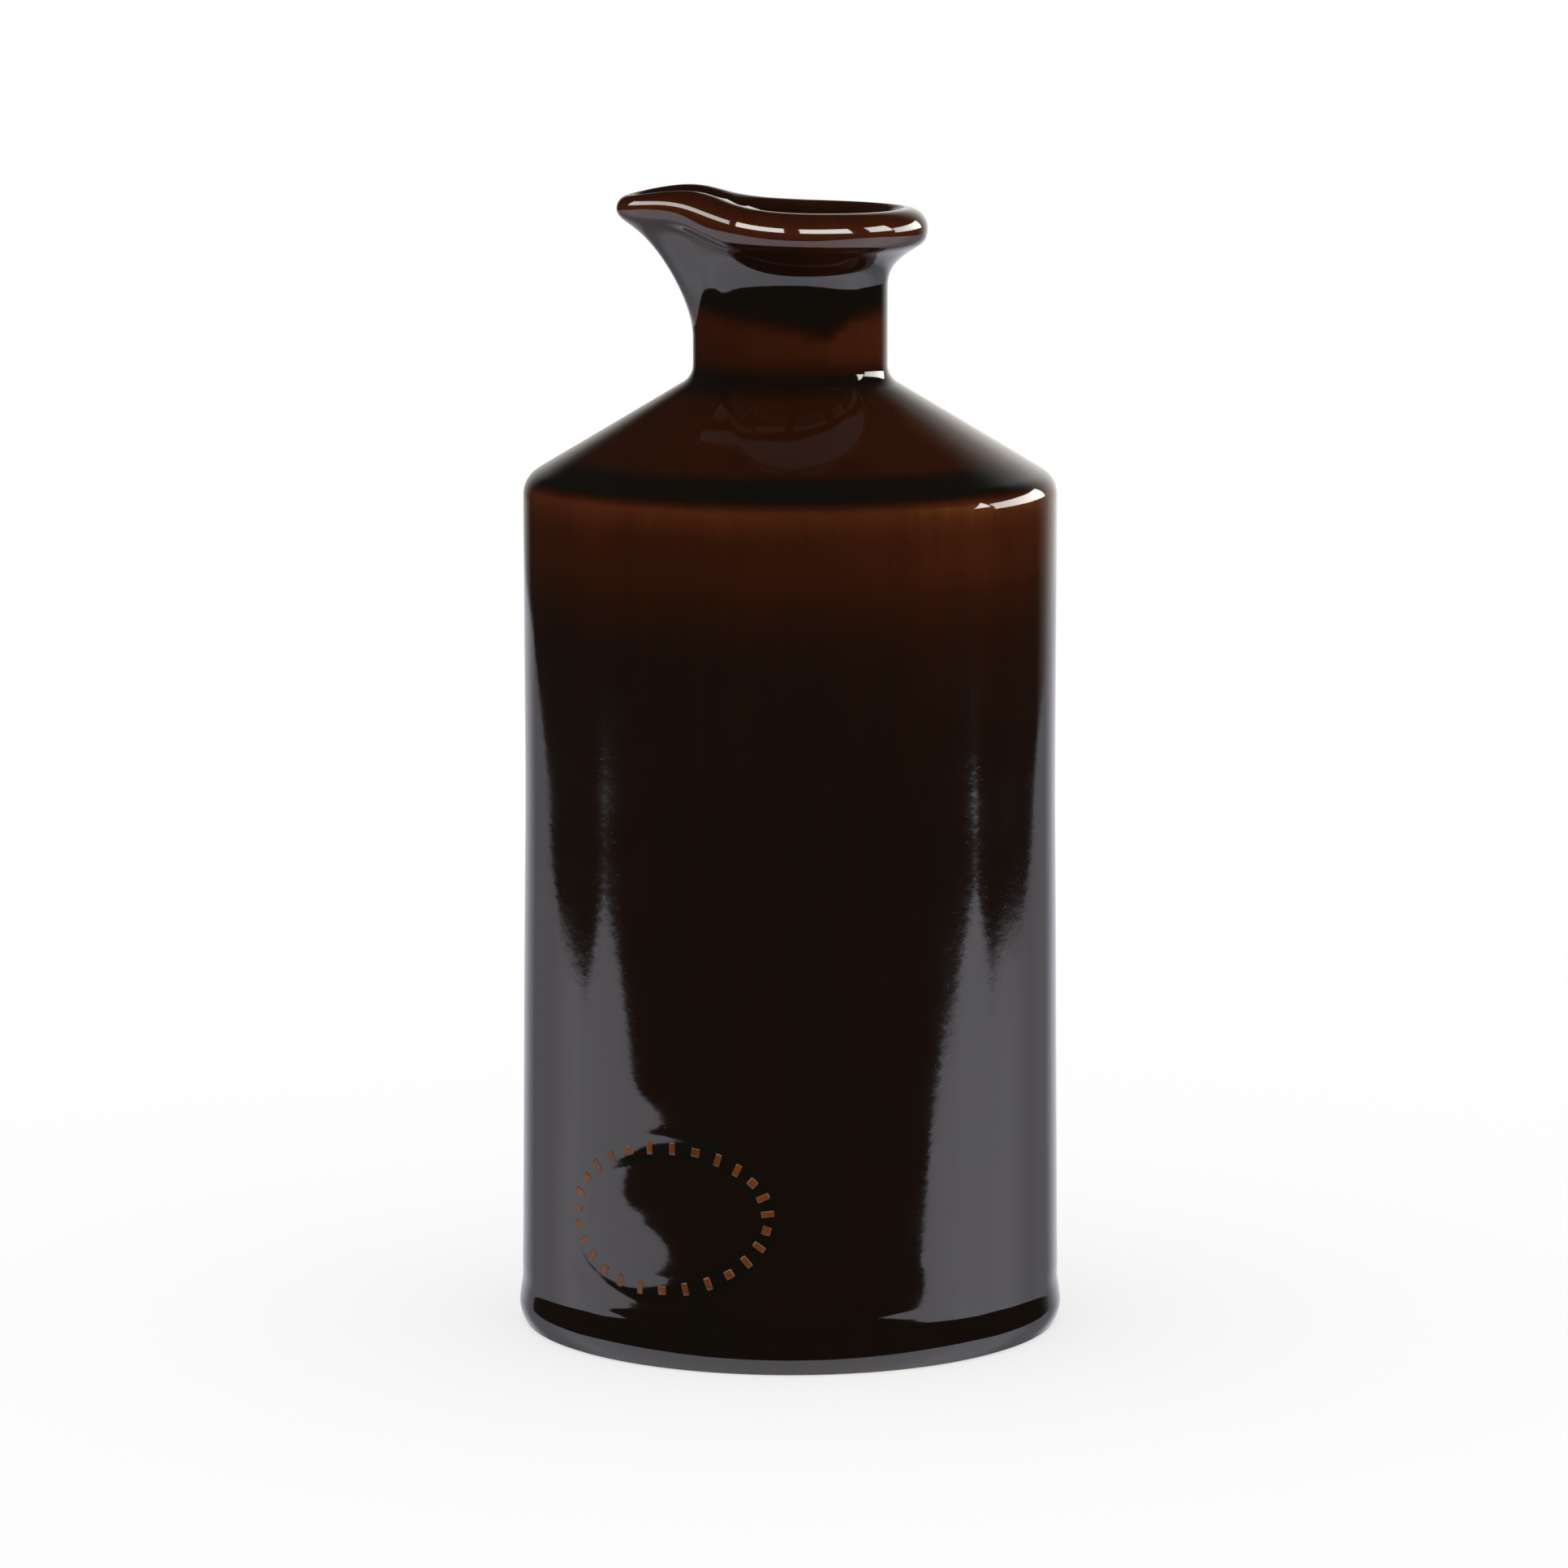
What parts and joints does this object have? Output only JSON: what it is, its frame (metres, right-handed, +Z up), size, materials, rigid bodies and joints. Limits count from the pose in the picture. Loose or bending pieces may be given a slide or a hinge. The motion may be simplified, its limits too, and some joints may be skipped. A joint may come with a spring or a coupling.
{
  "type": "pouring bottle",
  "caption": "Glazed stoneware pouring bottle with a straight round body, a coned shoulder, a short neck and a flared rim pulled into a spout; open, with a flat standing ring.",
  "frame": {"origin": "on the bottle's axis, at the table under the middle of the foot", "axes": "+Z up along the axis; the spout points to -X; the side with the oval seal faces -Y"},
  "size_m": [0.1042, 0.1042, 0.2166],
  "materials": {
    "bare_clay": "unglazed, wiped",
    "clay_body": "fired stoneware under the glaze",
    "thin_glaze": "glossy, glaze broken thin on raised marks",
    "brown_glaze": "glossy treacle brown, near black where thick",
    "inner_glaze": "glossy dark brown"
  },
  "bodies": {
    "root": {"foot_ring": "bare_clay", "base_disc": "bare_clay", "body_wall": "clay_body", "seal_marks": "thin_glaze", "shoulder": "clay_body", "neck": "clay_body", "pouring_lip": "clay_body", "outer_glaze": "brown_glaze", "lip_glaze": "brown_glaze", "inner_glaze": "inner_glaze"}
  },
  "joints": []
}
